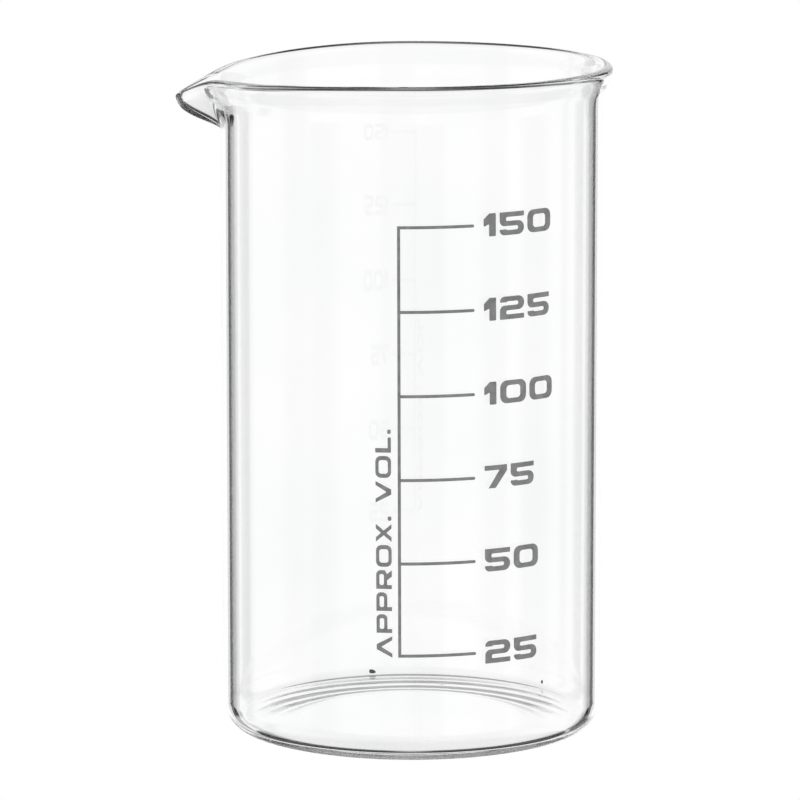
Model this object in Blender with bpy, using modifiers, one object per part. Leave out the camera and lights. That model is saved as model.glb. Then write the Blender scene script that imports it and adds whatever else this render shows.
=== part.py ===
"""A 150 ml tall-form laboratory beaker: one blown glass vessel and its fired enamel scale.

Units are metres, +Z is up. The origin is on the axis at the flat underside. The pouring spout
points along -X and the printed scale faces -Y. Every printed island is a solid of its own, and
it stands a small clearance off the glass.
"""

import math

import bmesh
import bpy
from mathutils import Vector

MM = 0.001

# Glass body
HEIGHT = 95.0 * MM
OUTER_DIAMETER = 54.0 * MM
WALL = 1.3 * MM
FLOOR = 1.4 * MM
HEEL_WIDTH = 2.7 * MM  # the rounded outer edge at the foot, measured across
HEEL_HEIGHT = 4.0 * MM  # and up the wall
CORNER_WIDTH = 1.3 * MM  # the rounded corner inside, measured across the floor
CORNER_HEIGHT = 2.7 * MM  # and up the wall

# Rim and spout
RIM_FLARE = 1.2 * MM  # how far the rim's middle stands out past the wall's middle
FLARE_HEIGHT = 7.0 * MM
RIM_SWELL = 1.3  # how many times thicker than the wall the rim's bead is, away from the spout
BEAD_HEIGHT = 3.0 * MM
SPOUT_REACH = 5.15 * MM  # how far the tip stands out past the rim
SPOUT_DROP = 2.6 * MM  # how far the tip alone hangs below the rim
SPOUT_DEPTH = 7.0 * MM  # how much of the wall is drawn out with it
SPOUT_HALF_ANGLE = math.radians(7.0)
RIM_SAG = 1.3 * MM  # how much lower the whole rim is on the spout's side
SAG_DEPTH = 12.0 * MM  # how far down the wall the drop and the sag die out

# Printed scale
INK_CLEARANCE = 0.3 * MM
INK_THICKNESS = 0.3 * MM
PRINT_TILT = math.radians(0.4)
LINE_WIDTH = 0.42 * MM
SPINE_PLACE = -1.63 * MM  # along the wall from the front line, as every place below
SPINE_LEAN = math.radians(0.24)  # from square with the ticks, towards them
TICK_END = 9.15 * MM
LOWEST_TICK = 15.4 * MM
SECOND_TICK = 28.45 * MM
TOP_TICK_BELOW_RIM = 19.5 * MM
VOLUMES = (25, 50, 75, 100, 125, 150)

# Numerals
NUMERAL_START = 10.55 * MM
NUMERAL_HEIGHT = 3.2 * MM
NUMERAL_GAP = 0.62 * MM
STEM = 0.95 * MM
BAR = 0.68 * MM

# Legend beside the spine, read from below upwards
LEGEND = "APPROX. VOL."
LEGEND_BASELINE = -2.66 * MM
LEGEND_HEIGHT = 2.18 * MM
LEGEND_STROKE = 0.44 * MM
LETTER_GAP = 0.49 * MM
WORD_GAP = 1.46 * MM

# Fineness of the faceted surfaces
TURNS = 72
SPOUT_CROWDING = 0.7  # 0 spreads the facets evenly round the axis, 1 gathers them at the spout
ARC_STEP = math.radians(22.5)
WRAP_STEP = 1.8 * MM
MERGE = 0.001 * MM
SLOPE_STEP = 0.01 * MM

# Worked out from the sizes above
OUTER_RADIUS = OUTER_DIAMETER / 2
INNER_RADIUS = OUTER_RADIUS - WALL
MIDDLE_RADIUS = OUTER_RADIUS - WALL / 2
FLARE_START = HEIGHT - FLARE_HEIGHT
FLARE_RISE = FLARE_HEIGHT - RIM_SWELL * WALL / 2
FLARE_ANGLE = 2 * math.atan2(RIM_FLARE, FLARE_RISE)
FLARE_RADIUS = FLARE_RISE / math.sin(FLARE_ANGLE)
WALL_END = FLARE_START + FLARE_RADIUS * FLARE_ANGLE  # length up the wall's middle to its rounded end
TICK_PITCH = (HEIGHT - TOP_TICK_BELOW_RIM - SECOND_TICK) / (len(VOLUMES) - 2)


def clear_scene():
    for obj in list(bpy.data.objects):
        bpy.data.objects.remove(obj, do_unlink=True)


def material(name, colour, roughness, transmission=0.0):
    made = bpy.data.materials.new(name)
    made.use_nodes = True
    shader = made.node_tree.nodes["Principled BSDF"]
    shader.inputs["Base Color"].default_value = (*colour, 1.0)
    shader.inputs["Roughness"].default_value = roughness
    shader.inputs["Metallic"].default_value = 0.0
    shader.inputs["Transmission Weight"].default_value = transmission
    shader.inputs["IOR"].default_value = 1.473
    made.diffuse_color = (*colour, 1.0 - 0.65 * transmission)
    return made


def evaluated_mesh(obj, name):
    """The object's mesh with its modifiers and extrusion made real and its loose caps joined."""
    bpy.context.view_layer.update()
    graph = bpy.context.evaluated_depsgraph_get()
    mesh = bpy.data.meshes.new_from_object(obj.evaluated_get(graph))
    mesh.name = name
    work = bmesh.new()
    work.from_mesh(mesh)
    bmesh.ops.remove_doubles(work, verts=work.verts, dist=MERGE)
    bmesh.ops.recalc_face_normals(work, faces=work.faces)
    work.to_mesh(mesh)
    work.free()
    bpy.data.objects.remove(obj, do_unlink=True)
    return mesh


def add_part(name, mesh, look, parts, parent):
    part = bpy.data.objects.new(name, mesh)
    part.data.materials.clear()
    part.data.materials.append(look)
    part.data.shade_smooth()
    part.data.set_sharp_from_angle(angle=math.radians(35))
    parts.objects.link(part)
    part.parent = parent
    return part


# Glass body


def smooth_step(start, end, value):
    share = min(max((value - start) / (end - start), 0.0), 1.0)
    return share * share * (3 - 2 * share)


def arc(centre, width, height, start, end):
    """Points on a quarter or half ellipse, both ends included."""
    count = max(1, round(abs(end - start) / ARC_STEP))
    angles = [start + (end - start) * i / count for i in range(count + 1)]
    return [(centre[0] + width * math.cos(a), centre[1] + height * math.sin(a)) for a in angles]


def wall_levels():
    """Heights of the rings in the top stretch of wall, which bends into the rim and the spout."""
    reach = max(SPOUT_DEPTH, SAG_DEPTH, WALL_END - FLARE_START)
    shares = (1.0, 0.84, 0.7, 0.58, 0.47, 0.37, 0.28, 0.2, 0.13, 0.06)
    return [WALL_END - reach * share for share in shares]


def vessel_profile():
    """Half section of a straight-walled cup, from the inner floor over the rim to the underside."""
    quarter = math.pi / 2
    inner_centre = (INNER_RADIUS - CORNER_WIDTH, FLOOR + CORNER_HEIGHT)
    heel_centre = (OUTER_RADIUS - HEEL_WIDTH, HEEL_HEIGHT)
    levels = wall_levels()
    points = [(0.0, FLOOR)]
    points += arc(inner_centre, CORNER_WIDTH, CORNER_HEIGHT, -quarter, 0.0)
    points += [(INNER_RADIUS, level) for level in levels]
    points += arc((MIDDLE_RADIUS, WALL_END), WALL / 2, WALL / 2, math.pi, 0.0)
    points += [(OUTER_RADIUS, level) for level in reversed(levels)]
    points += arc(heel_centre, HEEL_WIDTH, HEEL_HEIGHT, 0.0, -quarter)
    points += [(0.0, 0.0)]
    return points


def turned_mesh(profile, name):
    """The profile turned round the Z axis by a Screw modifier."""
    outline = bpy.data.meshes.new(name + "_profile")
    edges = [(i, i + 1) for i in range(len(profile) - 1)]
    outline.from_pydata([(radius, 0.0, height) for radius, height in profile], edges, [])
    turned = bpy.data.objects.new(name + "_profile", outline)
    bpy.context.scene.collection.objects.link(turned)
    screw = turned.modifiers.new("Turn", "SCREW")
    screw.axis = "Z"
    screw.steps = TURNS
    screw.render_steps = TURNS
    screw.use_merge_vertices = True
    screw.merge_threshold = MERGE
    return evaluated_mesh(turned, name)


def spout_share(azimuth):
    """How much of the spout's pull is felt at an azimuth, measured from the spout's direction, -X."""
    return (1 + (azimuth / SPOUT_HALF_ANGLE) ** 2) ** -1.3


def wall_middle(azimuth, height):
    """A point in the middle of the wall."""
    bend = max(height - FLARE_START, 0.0) / FLARE_RADIUS
    radius = MIDDLE_RADIUS + FLARE_RADIUS * (1 - math.cos(bend))
    level = min(height, FLARE_START) + FLARE_RADIUS * math.sin(bend)
    below_rim = WALL_END - height
    narrow = spout_share(azimuth)
    pulled = 1 - smooth_step(0.1 * SPOUT_DEPTH, SPOUT_DEPTH, below_rim)
    lowered = 1 - smooth_step(0.0, SAG_DEPTH, below_rim)
    sag = RIM_SAG * max(math.cos(azimuth), 0.0) ** 2
    return Vector(
        (
            -radius * math.cos(azimuth) - SPOUT_REACH * narrow * pulled,
            -radius * math.sin(azimuth),
            level - (SPOUT_DROP * narrow + sag) * lowered,
        )
    )


def shape_rim(mesh):
    """Bends the straight wall into the beaded, flared rim and the spout."""
    for vertex in mesh.vertices:
        x, y, z = vertex.co
        radius = math.hypot(x, y)
        if radius < MERGE:
            continue
        turned = math.atan2(-y, -x)
        azimuth = turned - SPOUT_CROWDING * math.sin(turned)
        if z < HEEL_HEIGHT + CORNER_HEIGHT:
            vertex.co = (-radius * math.cos(azimuth), -radius * math.sin(azimuth), z)
            continue
        height = min(z, WALL_END)
        middle = wall_middle(azimuth, height)
        upward = (middle - wall_middle(azimuth, height - SLOPE_STEP)).normalized()
        around = wall_middle(azimuth + SLOPE_STEP, height) - wall_middle(azimuth - SLOPE_STEP, height)
        outward = around.cross(upward).normalized()
        beaded = (1 - smooth_step(0.0, BEAD_HEIGHT, WALL_END - height)) * (1 - spout_share(azimuth))
        swell = 1 + (RIM_SWELL - 1) * beaded
        vertex.co = middle + swell * ((radius - MIDDLE_RADIUS) * outward + (z - height) * upward)


def make_glass(look, parts, parent):
    mesh = turned_mesh(vessel_profile(), "glass_body")
    shape_rim(mesh)
    add_part("glass_body", mesh, look, parts, parent)


# Printed outlines: each is a list of closed outlines, and an outline lists (along, up, radius)


def rounded_outline(corners):
    """The outline's corners turned into arcs of their own radii."""
    points = []
    for i, (along, up, radius) in enumerate(corners):
        here = Vector((along, up))
        if radius == 0:
            points.append(here)
            continue
        to_last = (Vector(corners[i - 1][:2]) - here).normalized()
        to_next = (Vector(corners[(i + 1) % len(corners)][:2]) - here).normalized()
        half = to_last.angle(to_next) / 2
        centre = here + (to_last + to_next).normalized() * radius / math.sin(half)
        first = here + to_last * radius / math.tan(half) - centre
        last = here + to_next * radius / math.tan(half) - centre
        sweep = -first.angle_signed(last)
        count = max(1, math.ceil(abs(sweep) / ARC_STEP))
        start = math.atan2(first.y, first.x)
        for step in range(count + 1):
            angle = start + sweep * step / count
            points.append(centre + radius * Vector((math.cos(angle), math.sin(angle))))
    return points


def box_outline(left, low, right, high, radius):
    return [(left, low, radius), (right, low, radius), (right, high, radius), (left, high, radius)]


def flipped(outlines, height):
    return [[(along, height - up, radius) for along, up, radius in outline] for outline in outlines]


def ring_outlines(width, height, side, bar, radius):
    """A rounded ring: the numeral 0 and the letter O."""
    outer = box_outline(0.0, 0.0, width, height, radius)
    inner = box_outline(side, bar, width - side, height - bar, radius * 0.5)
    return [outer, inner]


def numeral_one():
    stem_left = 0.82 * MM
    stem_right = stem_left + STEM + 0.05 * MM
    tip = 0.12 * MM
    outline = [
        (stem_left, 0.0, tip),
        (stem_right, 0.0, tip),
        (stem_right, NUMERAL_HEIGHT, tip),
        (0.85 * MM, NUMERAL_HEIGHT, 0.3 * MM),
        (0.0, NUMERAL_HEIGHT - 0.8 * MM, tip),
        (0.0, NUMERAL_HEIGHT - 1.85 * MM, tip),
        (stem_left, NUMERAL_HEIGHT - 1.45 * MM, tip),
    ]
    return [outline], stem_right


def numeral_five():
    width = 3.9 * MM
    middle = (NUMERAL_HEIGHT - BAR) / 2
    hook = 1.05 * MM
    hook_rise = 0.12 * MM
    bend = 0.95 * MM
    inside = 0.28 * MM
    tip = 0.1 * MM
    outline = [
        (0.0, 0.0, 0.7 * MM),
        (width, 0.0, bend),
        (width, middle + BAR, bend),
        (STEM, middle + BAR, inside),
        (STEM, NUMERAL_HEIGHT - BAR, inside),
        (width, NUMERAL_HEIGHT - BAR, tip),
        (width, NUMERAL_HEIGHT, tip),
        (0.0, NUMERAL_HEIGHT, tip),
        (0.0, middle, 0.75 * MM),
        (width - STEM, middle, inside),
        (width - STEM, BAR, inside),
        (hook + hook_rise, BAR, 0.0),
        (hook, BAR + hook_rise, 0.0),
        (0.0, BAR + hook_rise, tip),
    ]
    return [outline], width


def numeral_two():
    outlines, width = numeral_five()
    return flipped(outlines, NUMERAL_HEIGHT), width


def numeral_seven():
    width = 3.45 * MM
    under_bar = NUMERAL_HEIGHT - BAR
    outline = [
        (0.6 * MM, 0.0, 0.0),
        (1.65 * MM, 0.0, 0.1 * MM),
        (width, under_bar - 0.15 * MM, 0.15 * MM),
        (width, NUMERAL_HEIGHT, 0.1 * MM),
        (0.0, NUMERAL_HEIGHT, 0.1 * MM),
        (0.0, under_bar, 0.1 * MM),
        (2.3 * MM, under_bar, 0.0),
    ]
    return [outline], width


def numeral_zero():
    width = 4.2 * MM
    return ring_outlines(width, NUMERAL_HEIGHT, STEM, BAR, 1.0 * MM), width


NUMERALS = {
    "0": numeral_zero,
    "1": numeral_one,
    "2": numeral_two,
    "5": numeral_five,
    "7": numeral_seven,
}


def letter_a():
    """Drawn with no cross stroke."""
    width = 3.0 * MM
    foot = 0.53 * MM
    peak = 0.36 * MM
    outline = [
        (0.0, 0.0, 0.0),
        (foot, 0.0, 0.0),
        (width / 2, LEGEND_HEIGHT - 0.64 * MM, 0.0),
        (width - foot, 0.0, 0.0),
        (width, 0.0, 0.0),
        (width / 2 + peak, LEGEND_HEIGHT, 0.1 * MM),
        (width / 2 - peak, LEGEND_HEIGHT, 0.1 * MM),
    ]
    return [outline], width


def letter_v():
    outlines, width = letter_a()
    return flipped(outlines, LEGEND_HEIGHT), width


def bowl(width, low):
    """The opening of the letters P and R."""
    side = LEGEND_STROKE + 0.1 * MM
    high = LEGEND_HEIGHT - LEGEND_STROKE
    return box_outline(side, low + LEGEND_STROKE, width - side, high, 0.26 * MM)


def letter_p():
    width = 2.62 * MM
    low = 0.66 * MM
    stem = LEGEND_STROKE + 0.1 * MM
    outline = [
        (0.0, 0.0, 0.05 * MM),
        (stem, 0.0, 0.05 * MM),
        (stem, low, 0.0),
        (width, low, 0.62 * MM),
        (width, LEGEND_HEIGHT, 0.62 * MM),
        (0.0, LEGEND_HEIGHT, 0.05 * MM),
    ]
    return [outline, bowl(width, low)], width


def letter_r():
    width = 2.65 * MM
    low = 0.66 * MM
    stem = LEGEND_STROKE + 0.1 * MM
    outline = [
        (0.0, 0.0, 0.05 * MM),
        (stem, 0.0, 0.05 * MM),
        (stem, low, 0.1 * MM),
        (1.25 * MM, low, 0.1 * MM),
        (1.75 * MM, 0.0, 0.05 * MM),
        (width, 0.0, 0.05 * MM),
        (2.1 * MM, low + 0.02 * MM, 0.1 * MM),
        (width, low + 0.3 * MM, 0.2 * MM),
        (width, LEGEND_HEIGHT, 0.62 * MM),
        (0.0, LEGEND_HEIGHT, 0.05 * MM),
    ]
    return [outline, bowl(width, low)], width


def letter_o():
    width = 3.05 * MM
    side = LEGEND_STROKE + 0.12 * MM
    return ring_outlines(width, LEGEND_HEIGHT, side, LEGEND_STROKE, 0.75 * MM), width


def letter_x():
    width = 2.48 * MM
    foot = 0.62 * MM
    waist = 0.33 * MM
    half = width / 2
    crotch = waist * LEGEND_HEIGHT / (width - foot)
    quarter = [(half + waist, LEGEND_HEIGHT / 2, 0.0), (width, LEGEND_HEIGHT, 0.0)]
    quarter += [(width - foot, LEGEND_HEIGHT, 0.0), (half, LEGEND_HEIGHT / 2 + crotch, 0.0)]
    upper = quarter + [(width - along, up, 0.0) for along, up, _ in reversed(quarter[:3])]
    lower = [(along, LEGEND_HEIGHT - up, 0.0) for along, up, _ in reversed(upper[1:-1])]
    return [upper + lower], width


def letter_l():
    width = 2.15 * MM
    stem = 0.62 * MM
    outline = [
        (0.0, 0.0, 0.05 * MM),
        (width, 0.0, 0.15 * MM),
        (width, LEGEND_STROKE, 0.15 * MM),
        (stem, LEGEND_STROKE, 0.0),
        (stem, LEGEND_HEIGHT, 0.05 * MM),
        (0.0, LEGEND_HEIGHT, 0.05 * MM),
    ]
    return [outline], width


def full_stop():
    width = 0.59 * MM
    return [box_outline(0.0, 0.0, width, 0.5 * MM, 0.18 * MM)], width


LETTERS = {
    "A": letter_a,
    "L": letter_l,
    "O": letter_o,
    "P": letter_p,
    "R": letter_r,
    "V": letter_v,
    "X": letter_x,
    ".": full_stop,
}


def tick_height(index):
    return LOWEST_TICK if index == 0 else SECOND_TICK + (index - 1) * TICK_PITCH


def scale_outline():
    """The spine with its six ticks, one island of ink."""
    half = LINE_WIDTH / 2
    heights = [tick_height(i) for i in range(len(VOLUMES))]
    outline = [(SPINE_PLACE - half, heights[0] - half, 0.0)]
    for index, height in enumerate(heights):
        spine = SPINE_PLACE + (height - LOWEST_TICK) * math.tan(SPINE_LEAN)
        if index > 0:
            outline.append((spine + half, height - half, 0.0))
        outline.append((TICK_END, height - half, 0.99 * half))
        outline.append((TICK_END, height + half, 0.99 * half))
        if index < len(heights) - 1:
            outline.append((spine + half, height + half, 0.0))
    outline.append((spine - half, heights[-1] + half, 0.0))
    return outline


def flat_ink(outlines, name):
    """A flat plate of ink with holes, as a filled and extruded 2D curve made a mesh."""
    curve = bpy.data.curves.new(name, "CURVE")
    curve.dimensions = "2D"
    curve.fill_mode = "BOTH"
    curve.extrude = INK_THICKNESS / 2
    for outline in outlines:
        points = rounded_outline(outline)
        spline = curve.splines.new("POLY")
        spline.points.add(len(points) - 1)
        for target, point in zip(spline.points, points):
            target.co = (point.x, point.y, 0.0, 1.0)
        spline.use_cyclic_u = True
    flat = bpy.data.objects.new(name, curve)
    bpy.context.scene.collection.objects.link(flat)
    return evaluated_mesh(flat, name)


def cut_into_strips(work):
    """Cuts a flat plate at regular places, so that it can bend round the glass."""
    places = [vertex.co.x for vertex in work.verts]
    first = math.ceil(min(places) / WRAP_STEP)
    last = math.floor(max(places) / WRAP_STEP)
    for strip in range(first, last + 1):
        geometry = list(work.verts) + list(work.edges) + list(work.faces)
        place = (strip * WRAP_STEP, 0.0, 0.0)
        bmesh.ops.bisect_plane(work, geom=geometry, dist=MERGE, plane_co=place, plane_no=(1, 0, 0))


def wrap_on_glass(mesh, place):
    """Moves a plate to its place on the flat print, then wraps the print round the glass."""
    work = bmesh.new()
    work.from_mesh(mesh)
    for vertex in work.verts:
        along, up = place(vertex.co.x, vertex.co.y)
        raised = up - LOWEST_TICK
        vertex.co.x = along * math.cos(PRINT_TILT) - raised * math.sin(PRINT_TILT)
        vertex.co.y = LOWEST_TICK + raised * math.cos(PRINT_TILT) + along * math.sin(PRINT_TILT)
    cut_into_strips(work)
    for vertex in work.verts:
        along, up, depth = vertex.co
        angle = along / OUTER_RADIUS
        radius = OUTER_RADIUS + INK_CLEARANCE + INK_THICKNESS / 2 + depth
        vertex.co = (radius * math.sin(angle), -radius * math.cos(angle), up)
    bmesh.ops.triangulate(work, faces=[face for face in work.faces if len(face.verts) > 4])
    bmesh.ops.recalc_face_normals(work, faces=work.faces)
    work.to_mesh(mesh)
    work.free()


def make_mark(name, outlines, place, look, parts, parent):
    mesh = flat_ink(outlines, name)
    wrap_on_glass(mesh, place)
    add_part(name, mesh, look, parts, parent)


def make_scale(look, parts, parent):
    make_mark("scale_lines", [scale_outline()], lambda along, up: (along, up), look, parts, parent)


def make_numerals(look, parts, parent):
    for index, volume in enumerate(VOLUMES):
        start = NUMERAL_START
        low = tick_height(index) - NUMERAL_HEIGHT / 2
        for position, digit in enumerate(str(volume), 1):
            outlines, width = NUMERALS[digit]()
            name = f"numeral_{volume}_digit_{position}"
            make_mark(name, outlines, lambda a, u, s=start, b=low: (s + a, b + u), look, parts, parent)
            start += width + NUMERAL_GAP


def make_legend(look, parts, parent):
    start = LOWEST_TICK - LINE_WIDTH / 2
    count = 0
    for character in LEGEND:
        if character == " ":
            start += WORD_GAP
            continue
        count += 1
        outlines, width = LETTERS[character]()
        shown = "stop" if character == "." else character
        name = f"legend_{count:02d}_{shown}"
        place = lambda a, u, s=start: (LEGEND_BASELINE - u, s + a)
        make_mark(name, outlines, place, look, parts, parent)
        start += width + LETTER_GAP


def main():
    clear_scene()
    parts = bpy.data.collections.new("beaker")
    bpy.context.scene.collection.children.link(parts)
    origin = bpy.data.objects.new("beaker_origin", None)
    parts.objects.link(origin)
    glass = material("borosilicate_glass", (0.95, 0.97, 0.97), 0.02, transmission=1.0)
    enamel = material("grey_enamel", (0.26, 0.26, 0.26), 0.55)
    make_glass(glass, parts, origin)
    make_scale(enamel, parts, origin)
    make_numerals(enamel, parts, origin)
    make_legend(enamel, parts, origin)


main()
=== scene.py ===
"""Looks for the 150 ml tall-form beaker: fire-polished glass, a fired enamel scale and a bright studio."""

import math

import bmesh
import bpy
import numpy as np
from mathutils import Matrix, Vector


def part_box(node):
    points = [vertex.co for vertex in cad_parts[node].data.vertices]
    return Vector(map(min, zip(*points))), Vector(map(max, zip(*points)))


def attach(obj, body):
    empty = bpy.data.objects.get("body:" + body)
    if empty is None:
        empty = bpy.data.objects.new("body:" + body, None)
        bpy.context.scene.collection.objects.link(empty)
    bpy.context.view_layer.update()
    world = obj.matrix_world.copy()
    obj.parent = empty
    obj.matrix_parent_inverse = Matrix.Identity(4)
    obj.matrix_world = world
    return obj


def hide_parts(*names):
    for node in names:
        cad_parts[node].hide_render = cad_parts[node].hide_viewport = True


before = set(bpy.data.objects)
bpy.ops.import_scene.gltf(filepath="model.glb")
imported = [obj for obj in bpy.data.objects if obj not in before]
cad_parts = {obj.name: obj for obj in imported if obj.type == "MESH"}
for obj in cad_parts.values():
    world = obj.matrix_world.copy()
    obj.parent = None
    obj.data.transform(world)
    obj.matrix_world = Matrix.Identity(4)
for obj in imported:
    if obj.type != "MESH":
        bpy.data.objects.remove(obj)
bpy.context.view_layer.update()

MM = 0.001

# Glass body, the same sizes as the CAD solid
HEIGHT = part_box("glass_body")[1].z
OUTER_RADIUS = 27.0 * MM
WALL = 1.3 * MM
FLOOR = 1.4 * MM
HEEL_WIDTH = 2.7 * MM  # the rounded heel outside, measured across the underside
HEEL_HEIGHT = 4.0 * MM  # and up the wall
CORNER_WIDTH = 1.3 * MM  # the rounded corner inside, measured across the floor
CORNER_HEIGHT = 2.7 * MM  # and up the wall
RIM_FLARE = 1.2 * MM
FLARE_HEIGHT = 7.0 * MM
RIM_SWELL = 1.3  # the rim's bead as a multiple of the wall
BEAD_HEIGHT = 3.0 * MM
SPOUT_REACH = 5.15 * MM
SPOUT_DROP = 2.6 * MM
SPOUT_DEPTH = 7.0 * MM  # how far down the wall the spout starts
SPOUT_HALF_ANGLE = math.radians(7.0)
SPOUT_FALLOFF = 1.3  # a higher power gives a spout with shorter shoulders
SPOUT_LIP = 0.1  # the share of the spout's depth that keeps its full reach
RIM_SAG = 1.3 * MM  # how far the rim dips on the spout's side
SAG_DEPTH = 12.0 * MM

# The underside, which the CAD keeps flat
PUNT = 0.5 * MM  # how far it is pushed up
PUNT_SLOPE = 10.0 * MM  # measured in from the foot ring

# Print
INK_CLEARANCE = 0.3 * MM  # of the CAD's islands from the wall
INK_THICKNESS = 0.3 * MM  # of the CAD's islands
PRINT_SINK = 0.015 * MM
PRINT_THICKNESS = 0.065 * MM

# Specks on the inner floor: place in X and Y, width and height
SPECKS = (
    (-5.9 * MM, 24.4 * MM, 1.05 * MM, 0.6 * MM),
    (19.5 * MM, 16.1 * MM, 0.35 * MM, 0.6 * MM),
    (4.5 * MM, 17.5 * MM, 0.22 * MM, 0.18 * MM),
)
SPECK_ROUGH = 0.15
SPECK_WAVES = (5, 7, 3)

# Fineness of the glass
TURNS = 384
SPOUT_CROWDING = 0.7  # how much closer the columns stand at the spout
ARC_STEPS = 24
FLOOR_RINGS = 40
RIM_RINGS = 44
WALL_RINGS = 10
SLOPE_STEP = 0.01 * MM

# Worked out from the sizes above
INNER_RADIUS = OUTER_RADIUS - WALL
MIDDLE_RADIUS = OUTER_RADIUS - WALL / 2
FLOOR_RADIUS = INNER_RADIUS - CORNER_WIDTH
FOOT_RADIUS = OUTER_RADIUS - HEEL_WIDTH
FLARE_START = HEIGHT - FLARE_HEIGHT
FLARE_RISE = FLARE_HEIGHT - RIM_SWELL * WALL / 2
FLARE_ANGLE = 2 * math.atan2(RIM_FLARE, FLARE_RISE)
FLARE_RADIUS = FLARE_RISE / math.sin(FLARE_ANGLE)
WALL_END = FLARE_START + FLARE_RADIUS * FLARE_ANGLE

# Glass, as a material
GLASS_IOR = 1.473
TINT_SCALE = 40.0
TINT_DETAIL = 3.0
TINT = (0.975, 0.98, 0.98, 1.0)
CLEAR = (1.0, 1.0, 1.0, 1.0)
TINT_FROM = 0.35
TINT_TO = 0.6
RIPPLE_SCALE = 60.0
RIPPLE_DETAIL = 1.0
RIPPLE_DEPTH = 0.006 * MM

# Enamel
INK_DARK = 0.29
INK_LIGHT = 0.42
INK_ROUGHNESS = 0.55
INK_SHINE = 0.3
MOTTLE_SCALE = 900.0
MOTTLE_DETAIL = 4.0
MOTTLE_FROM = 0.3
MOTTLE_TO = 0.7
EDGE_WIDTH = 0.12 * MM
EDGE_SHADE = 0.72  # the brightness of an island's edge as a share of its middle
EDGE_TURNED = 0.80  # the cosine between true and rounded normal where the shade is full
EDGE_LEVEL = 0.99  # and where it ends

# Specks, as a material
SPECK_DARK = 0.01
SPECK_LIGHT = 0.05
SPECK_ROUGHNESS = 0.7
SPECK_GRAIN = 4000.0
SPECK_DETAIL = 2.0

# Studio. An azimuth counts in degrees from +Y towards -X, and a height is an elevation in degrees.
FLOOR_HALF = 4.0
FLOOR_DROP = 0.05 * MM
ROOM = 0.97  # the brightness of the walls
WINDOWS = (  # azimuth, half width, softness
    (0.0, 28.0, 0.8),
    (90.0, 27.0, 4.0),
    (225.0, 27.0, 4.0),
)
FLAGS = (  # dark cloths beside the windows: azimuth, half width, softness, depth
    (36.5, 8.5, 0.8, 1.0),
    (-36.5, 8.5, 0.8, 1.0),
    (62.0, 3.0, 3.0, 0.5),
    (122.0, 8.0, 8.0, 0.45),
    (190.0, 8.0, 8.0, 0.35),
    (260.0, 8.0, 8.0, 0.45),
)
FLAG_FOOT = (-20.5, -18.0)
LOW_FLAGS = (  # dark cloths below those, which shade the heel
    (13.0, 5.0, 2.0, 0.6),
    (77.0, 5.0, 2.0, 0.6),
    (-34.0, 14.0, 3.0, 0.9),
    (33.0, 4.0, 3.0, 0.7),
)
LOW_FLAG_TOP = (-20.0, -17.0)
LOW_FLAG_FOOT = (-33.0, -30.0)
RING = 0.05  # the brightness of a dark ring low around the beaker
RING_TOP = (-34.0, -31.0)
RING_FOOT = (-86.0, -80.0)
RING_SHINE = 0.2  # and of its part opposite the camera
RING_SHINE_HALF = 8.0
RING_SHINE_SOFT = 4.0
OVERHEAD = 0.05  # the brightness of the ceiling
OVERHEAD_FROM = (25.0, 40.0)

# Camera
TARGET = Vector((0.0, 0.0, HEIGHT / 2))
VIEW_DISTANCE = 851.0 * MM
VIEW_ELEVATION = math.radians(9.93)
AIM_LEFT = 1.65 * MM
AIM_LOW = 0.72 * MM
LENS = 268.9
SENSOR = 36.0
CLIP_START = 10.0 * MM

# Light runs along inside the walls for many bounces before it gets out
BOUNCES = 256


# Glass


def smooth_step(start, end, value):
    share = np.clip((value - start) / (end - start), 0.0, 1.0)
    return share * share * (3 - 2 * share)


def arc(centre, width, height, start, end):
    angles = np.linspace(start, end, ARC_STEPS + 1)
    return np.column_stack([centre[0] + width * np.cos(angles), centre[1] + height * np.sin(angles)])


def floor_section():
    """The inner floor's radius and height, from the axis out to the rounded corner."""
    radius = FLOOR_RADIUS * np.linspace(0.0, 1.0, FLOOR_RINGS)[:-1]
    return np.column_stack([radius, np.full_like(radius, FLOOR)])


def foot_section():
    """The underside's, from the heel in to the axis."""
    inward = np.linspace(0.0, 1.0, FLOOR_RINGS)[::-1][1:]
    radius = FOOT_RADIUS * inward
    return np.column_stack([radius, PUNT * smooth_step(0.0, PUNT_SLOPE, FOOT_RADIUS * (1 - inward))])


def vessel_profile():
    """Half section of a straight-walled cup, from the inner floor over the rim to the underside."""
    quarter = math.pi / 2
    bend_start = WALL_END - max(SPOUT_DEPTH, SAG_DEPTH, FLARE_HEIGHT)
    straight = np.linspace(HEEL_HEIGHT + CORNER_HEIGHT, bend_start, WALL_RINGS)
    bent = np.linspace(bend_start, WALL_END, RIM_RINGS)[1:-1]
    levels = np.concatenate([straight, bent])
    inner_wall = np.column_stack([np.full_like(levels, INNER_RADIUS), levels])
    outer_wall = np.column_stack([np.full_like(levels, OUTER_RADIUS), levels])[::-1]
    corner = arc((FLOOR_RADIUS, FLOOR + CORNER_HEIGHT), CORNER_WIDTH, CORNER_HEIGHT, -quarter, 0.0)
    rim = arc((MIDDLE_RADIUS, WALL_END), WALL / 2, WALL / 2, math.pi, 0.0)
    heel = arc((FOOT_RADIUS, HEEL_HEIGHT), HEEL_WIDTH, HEEL_HEIGHT, 0.0, -quarter)
    return np.concatenate([floor_section(), corner, inner_wall, rim, outer_wall, heel, foot_section()])


def spout_share(azimuth):
    return (1 + (azimuth / SPOUT_HALF_ANGLE) ** 2) ** -SPOUT_FALLOFF


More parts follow.
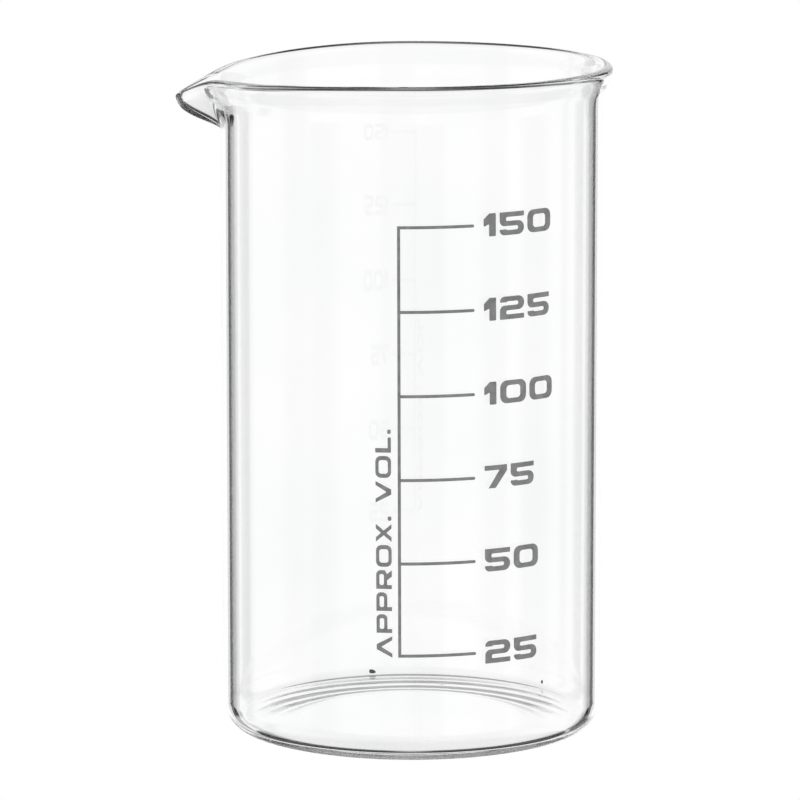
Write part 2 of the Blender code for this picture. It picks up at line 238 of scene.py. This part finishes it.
def wall_middle(azimuth, height):
    """Points in the middle of the wall. Azimuth is measured from the spout's direction, -X."""
    bend = np.maximum(height - FLARE_START, 0.0) / FLARE_RADIUS
    radius = MIDDLE_RADIUS + FLARE_RADIUS * (1 - np.cos(bend))
    level = np.minimum(height, FLARE_START) + FLARE_RADIUS * np.sin(bend)
    below_rim = WALL_END - height
    narrow = spout_share(azimuth)
    pulled = 1 - smooth_step(SPOUT_LIP * SPOUT_DEPTH, SPOUT_DEPTH, below_rim)
    lowered = 1 - smooth_step(0.0, SAG_DEPTH, below_rim)
    sag = RIM_SAG * np.maximum(np.cos(azimuth), 0.0) ** 2
    return np.stack(
        [
            -radius * np.cos(azimuth) - SPOUT_REACH * narrow * pulled,
            -radius * np.sin(azimuth),
            level - (SPOUT_DROP * narrow + sag) * lowered,
        ],
        axis=-1,
    )


def unit(vectors):
    return vectors / np.linalg.norm(vectors, axis=-1, keepdims=True)


def shaped(profile):
    """The turned profile's points as a grid of rings, with the rim flared, beaded and drawn into the spout."""
    turned = np.linspace(-math.pi, math.pi, TURNS, endpoint=False)
    azimuth = (turned - SPOUT_CROWDING * np.sin(turned))[None, :]
    radius = profile[:, 0][:, None]
    z = profile[:, 1][:, None]
    radius, z, azimuth = np.broadcast_arrays(radius, z, azimuth)
    plain = np.stack([-radius * np.cos(azimuth), -radius * np.sin(azimuth), z], axis=-1)
    height = np.minimum(z, WALL_END)
    middle = wall_middle(azimuth, height)
    upward = unit(middle - wall_middle(azimuth, height - SLOPE_STEP))
    around = wall_middle(azimuth + SLOPE_STEP, height) - wall_middle(azimuth - SLOPE_STEP, height)
    outward = unit(np.cross(around, upward))
    beaded = (1 - smooth_step(0.0, BEAD_HEIGHT, WALL_END - height)) * (1 - spout_share(azimuth))
    swell = (1 + (RIM_SWELL - 1) * beaded)[..., None]
    bent = middle + swell * ((radius - MIDDLE_RADIUS)[..., None] * outward + (z - height)[..., None] * upward)
    low = (z < HEEL_HEIGHT + CORNER_HEIGHT)[..., None]
    return np.where(low, plain, bent)


def glass_mesh():
    """The rings joined by quads, and closed by a fan of triangles at the axis, inside and underneath."""
    rings = shaped(vessel_profile())
    inner = rings[1:-1].reshape(-1, 3)
    points = np.concatenate([rings[0][:1], inner, rings[-1][:1]])
    last = len(points) - 1
    edge = last - TURNS
    faces = []
    for i in range(TURNS):
        j = (i + 1) % TURNS
        faces.append((0, 1 + i, 1 + j))
        for low in range(1, edge, TURNS):
            high = low + TURNS
            faces.append((low + i, high + i, high + j, low + j))
        faces.append((edge + i, last, edge + j))
    mesh = bpy.data.meshes.new("glass_vessel")
    mesh.from_pydata(points.tolist(), [], faces)
    mesh.update()
    work = bmesh.new()
    work.from_mesh(mesh)
    bmesh.ops.recalc_face_normals(work, faces=work.faces)
    work.to_mesh(mesh)
    work.free()
    mesh.shade_smooth()
    return mesh


def new_material(name):
    """A material with its nodes, its links and its shader."""
    made = bpy.data.materials.new(name)
    made.use_nodes = True
    nodes = made.node_tree.nodes
    return made, nodes, made.node_tree.links, nodes["Principled BSDF"]


def add_noise(nodes, links, scale, detail):
    """Cloudy noise in the piece's own space, so that it stays put on the piece."""
    where = nodes.new("ShaderNodeTexCoord")
    noise = nodes.new("ShaderNodeTexNoise")
    noise.inputs["Scale"].default_value = scale
    noise.inputs["Detail"].default_value = detail
    links.new(where.outputs["Object"], noise.inputs["Vector"])
    return noise.outputs["Fac"]


def add_ramp(nodes, links, value, stops):
    """A blend between the colours of two stops, each given as its position and its colour."""
    ramp = nodes.new("ShaderNodeValToRGB")
    for element, (position, colour) in zip(ramp.color_ramp.elements, stops):
        element.position = position
        element.color = colour
    links.new(value, ramp.inputs["Fac"])
    return ramp.outputs["Color"]


def grey(level):
    return (level, level, level, 1.0)


def glass_material():
    made, nodes, links, shader = new_material("clear_borosilicate")
    shader.inputs["Roughness"].default_value = 0.0
    shader.inputs["IOR"].default_value = GLASS_IOR
    shader.inputs["Transmission Weight"].default_value = 1.0
    cloud = add_noise(nodes, links, TINT_SCALE, TINT_DETAIL)
    tint = add_ramp(nodes, links, cloud, ((TINT_FROM, TINT), (TINT_TO, CLEAR)))
    links.new(tint, shader.inputs["Base Color"])
    ripple = nodes.new("ShaderNodeBump")
    ripple.inputs["Strength"].default_value = 1.0
    ripple.inputs["Distance"].default_value = RIPPLE_DEPTH
    links.new(add_noise(nodes, links, RIPPLE_SCALE, RIPPLE_DETAIL), ripple.inputs["Height"])
    links.new(ripple.outputs["Normal"], shader.inputs["Normal"])
    return made


def make_glass():
    vessel = bpy.data.objects.new("glass_vessel", glass_mesh())
    bpy.context.scene.collection.objects.link(vessel)
    vessel.data.materials.append(glass_material())
    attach(vessel, "root")
    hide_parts("glass_body")


# Print


def enamel_material():
    """Mottled grey, darker along an island's edge."""
    made, nodes, links, shader = new_material("grey_enamel")
    shader.inputs["Roughness"].default_value = INK_ROUGHNESS
    shader.inputs["Specular IOR Level"].default_value = INK_SHINE
    cloud = add_noise(nodes, links, MOTTLE_SCALE, MOTTLE_DETAIL)
    mottle = add_ramp(nodes, links, cloud, ((MOTTLE_FROM, grey(INK_DARK)), (MOTTLE_TO, grey(INK_LIGHT))))
    edge = nodes.new("ShaderNodeBevel")
    edge.inputs["Radius"].default_value = EDGE_WIDTH
    surface = nodes.new("ShaderNodeNewGeometry")
    flat = nodes.new("ShaderNodeVectorMath")
    flat.operation = "DOT_PRODUCT"
    links.new(edge.outputs["Normal"], flat.inputs[0])
    links.new(surface.outputs["True Normal"], flat.inputs[1])
    level = add_fade(nodes, links, flat.outputs["Value"], (EDGE_TURNED, EDGE_LEVEL), (EDGE_SHADE, 1.0))
    shaded = nodes.new("ShaderNodeVectorMath")
    shaded.operation = "SCALE"
    links.new(mottle, shaded.inputs[0])
    links.new(level, shaded.inputs["Scale"])
    links.new(shaded.outputs[0], shader.inputs["Base Color"])
    return made


def make_print():
    """Thin copies of the scale's islands that lie on the wall, where the solids stand off it."""
    look = enamel_material()
    for name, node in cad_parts.items():
        if name == "glass_body":
            continue
        mesh = node.data.copy()
        mesh.name = "print_" + name
        mesh.transform(node.matrix_world)
        for vertex in mesh.vertices:
            x, y, z = vertex.co
            radius = math.hypot(x, y)
            share = (radius - OUTER_RADIUS - INK_CLEARANCE) / INK_THICKNESS
            settled = OUTER_RADIUS - PRINT_SINK + share * PRINT_THICKNESS
            vertex.co = (x * settled / radius, y * settled / radius, z)
        mesh.materials.clear()
        mesh.materials.append(look)
        piece = bpy.data.objects.new("print_" + name, mesh)
        bpy.context.scene.collection.objects.link(piece)
        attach(piece, "root")
        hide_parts(name)


# Specks


def speck_material():
    made, nodes, links, shader = new_material("dark_speck")
    shader.inputs["Roughness"].default_value = SPECK_ROUGHNESS
    cloud = add_noise(nodes, links, SPECK_GRAIN, SPECK_DETAIL)
    grain = add_ramp(nodes, links, cloud, ((0.0, grey(SPECK_DARK)), (1.0, grey(SPECK_LIGHT))))
    links.new(grain, shader.inputs["Base Color"])
    return made


def floor_height(radius):
    """The height of the inner floor, which the rounded corner raises towards the wall."""
    across = min(max(radius - FLOOR_RADIUS, 0.0) / CORNER_WIDTH, 1.0)
    return FLOOR + CORNER_HEIGHT * (1 - math.sqrt(1 - across**2))


def make_specks():
    """Grains of furnace dust fired onto the inner floor and its rounded corner."""
    look = speck_material()
    waves = Vector(SPECK_WAVES)
    for count, (x, y, width, height) in enumerate(SPECKS, start=1):
        place = Vector((x, y, floor_height(math.hypot(x, y))))
        size = Vector((width, width, height))
        work = bmesh.new()
        bmesh.ops.create_icosphere(work, subdivisions=2, radius=0.5)
        for vertex in work.verts:
            dent = 1 + SPECK_ROUGH * math.sin(waves.dot(vertex.co) + count)
            vertex.co = place + dent * size * vertex.co
        mesh = bpy.data.meshes.new(f"speck_{count}")
        work.to_mesh(mesh)
        work.free()
        mesh.shade_smooth()
        mesh.materials.append(look)
        piece = bpy.data.objects.new(f"speck_{count}", mesh)
        bpy.context.scene.collection.objects.link(piece)
        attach(piece, "root")


# Studio


def make_floor():
    """A white floor that only the camera sees directly, so that the glass takes its light from the world."""
    work = bmesh.new()
    bmesh.ops.create_grid(work, x_segments=1, y_segments=1, size=FLOOR_HALF)
    mesh = bpy.data.meshes.new("studio_floor")
    work.to_mesh(mesh)
    work.free()
    floor = bpy.data.objects.new("studio_floor", mesh)
    floor.location.z = -FLOOR_DROP
    bpy.context.scene.collection.objects.link(floor)
    look = bpy.data.materials.new("white_floor")
    look.use_nodes = True
    nodes = look.node_tree.nodes
    nodes.clear()
    glow = nodes.new("ShaderNodeEmission")
    out = nodes.new("ShaderNodeOutputMaterial")
    look.node_tree.links.new(glow.outputs[0], out.inputs["Surface"])
    mesh.materials.append(look)
    floor.visible_transmission = False
    floor.visible_glossy = False
    floor.visible_diffuse = False
    floor.visible_shadow = False


def add_math(nodes, links, kind, first, second):
    """One calculation on two values, each a socket or a number."""
    node = nodes.new("ShaderNodeMath")
    node.operation = kind
    for value, socket in zip((first, second), node.inputs):
        if isinstance(value, float):
            socket.default_value = value
        else:
            links.new(value, socket)
    return node.outputs[0]


def add_fade(nodes, links, value, span, levels):
    """A smooth step from one level to the other as the value crosses the span."""
    fade = nodes.new("ShaderNodeMapRange")
    fade.interpolation_type = "SMOOTHSTEP"
    fade.inputs["From Min"].default_value = span[0]
    fade.inputs["From Max"].default_value = span[1]
    fade.inputs["To Min"].default_value = levels[0]
    fade.inputs["To Max"].default_value = levels[1]
    links.new(value, fade.inputs["Value"])
    return fade.outputs["Result"]


def add_sector(nodes, links, heading, azimuth, half, soft, inside):
    """A brightness within an angle of an azimuth, and none beyond it."""
    toward = nodes.new("ShaderNodeVectorMath")
    toward.operation = "DOT_PRODUCT"
    angle = math.radians(azimuth)
    toward.inputs[1].default_value = (-math.sin(angle), math.cos(angle), 0.0)
    links.new(heading, toward.inputs[0])
    edge = math.cos(math.radians(half + soft))
    core = math.cos(math.radians(max(half - soft, 0.0)))
    return add_fade(nodes, links, toward.outputs["Value"], (edge, core), (0.0, inside))


def add_band(nodes, links, rise, elevations, levels):
    """A smooth step from one level to the other between two elevations."""
    span = [math.sin(math.radians(elevation)) for elevation in elevations]
    return add_fade(nodes, links, rise, span, levels)


def add_direction(nodes, links):
    """The heading of a ray as a level unit vector, and its rise as the sine of its elevation."""
    where = nodes.new("ShaderNodeTexCoord")
    level = nodes.new("ShaderNodeVectorMath")
    level.operation = "MULTIPLY"
    level.inputs[1].default_value = (1.0, 1.0, 0.0)
    links.new(where.outputs["Generated"], level.inputs[0])
    heading = nodes.new("ShaderNodeVectorMath")
    heading.operation = "NORMALIZE"
    links.new(level.outputs[0], heading.inputs[0])
    split = nodes.new("ShaderNodeSeparateXYZ")
    links.new(where.outputs["Generated"], split.inputs[0])
    return heading.outputs[0], split.outputs["Z"]


def make_world():
    """A pale room with three windows, dark cloths beside them, a dark ring low down and a dark ceiling."""
    world = bpy.data.worlds.new("studio")
    bpy.context.scene.world = world
    world.use_nodes = True
    nodes = world.node_tree.nodes
    links = world.node_tree.links
    heading, rise = add_direction(nodes, links)
    high = add_band(nodes, links, rise, FLAG_FOOT, (0.0, 1.0))
    low_top = add_band(nodes, links, rise, LOW_FLAG_TOP, (1.0, 0.0))
    low_foot = add_band(nodes, links, rise, LOW_FLAG_FOOT, (0.0, 1.0))
    low = add_math(nodes, links, "MULTIPLY", low_top, low_foot)
    light = ROOM
    for flags, share in ((FLAGS, high), (LOW_FLAGS, low)):
        for azimuth, half, soft, depth in flags:
            sector = add_sector(nodes, links, heading, azimuth, half, soft, depth)
            shade = add_math(nodes, links, "MULTIPLY", sector, share)
            left = add_math(nodes, links, "SUBTRACT", 1.0, shade)
            light = add_math(nodes, links, "MULTIPLY", light, left)
    for azimuth, half, soft in WINDOWS:
        sector = add_sector(nodes, links, heading, azimuth, half, soft, 1.0)
        window = add_math(nodes, links, "MULTIPLY", sector, high)
        light = add_math(nodes, links, "MAXIMUM", light, window)
    ring_top = add_band(nodes, links, rise, RING_TOP, (1.0, 0.0))
    ring_foot = add_band(nodes, links, rise, RING_FOOT, (0.0, 1.0 - RING))
    ring = add_math(nodes, links, "MULTIPLY", ring_top, ring_foot)
    open_share = add_math(nodes, links, "SUBTRACT", 1.0, ring)
    shine = add_sector(nodes, links, heading, 0.0, RING_SHINE_HALF, RING_SHINE_SOFT, RING_SHINE)
    filled = add_math(nodes, links, "MAXIMUM", open_share, shine)
    light = add_math(nodes, links, "MULTIPLY", light, filled)
    overhead = add_band(nodes, links, rise, OVERHEAD_FROM, (1.0, OVERHEAD))
    light = add_math(nodes, links, "MULTIPLY", light, overhead)
    links.new(light, nodes["Background"].inputs["Color"])


def make_camera():
    data = bpy.data.cameras.new("camera")
    data.lens = LENS
    data.sensor_width = SENSOR
    data.clip_start = CLIP_START
    camera = bpy.data.objects.new("camera", data)
    bpy.context.scene.collection.objects.link(camera)
    back = Vector((0.0, -math.cos(VIEW_ELEVATION), math.sin(VIEW_ELEVATION)))
    upright = Vector((0.0, math.sin(VIEW_ELEVATION), math.cos(VIEW_ELEVATION)))
    camera.location = TARGET + VIEW_DISTANCE * back
    aim = TARGET + Vector((-AIM_LEFT, 0.0, 0.0)) - AIM_LOW * upright
    camera.rotation_euler = (aim - camera.location).to_track_quat("-Z", "Y").to_euler()
    bpy.context.scene.camera = camera


def main():
    make_glass()
    make_print()
    make_specks()
    make_floor()
    make_world()
    make_camera()
    scene = bpy.context.scene
    scene.view_settings.view_transform = "Standard"
    scene.cycles.transmission_bounces = BOUNCES
    scene.cycles.max_bounces = BOUNCES
    scene.cycles.glossy_bounces = BOUNCES


main()
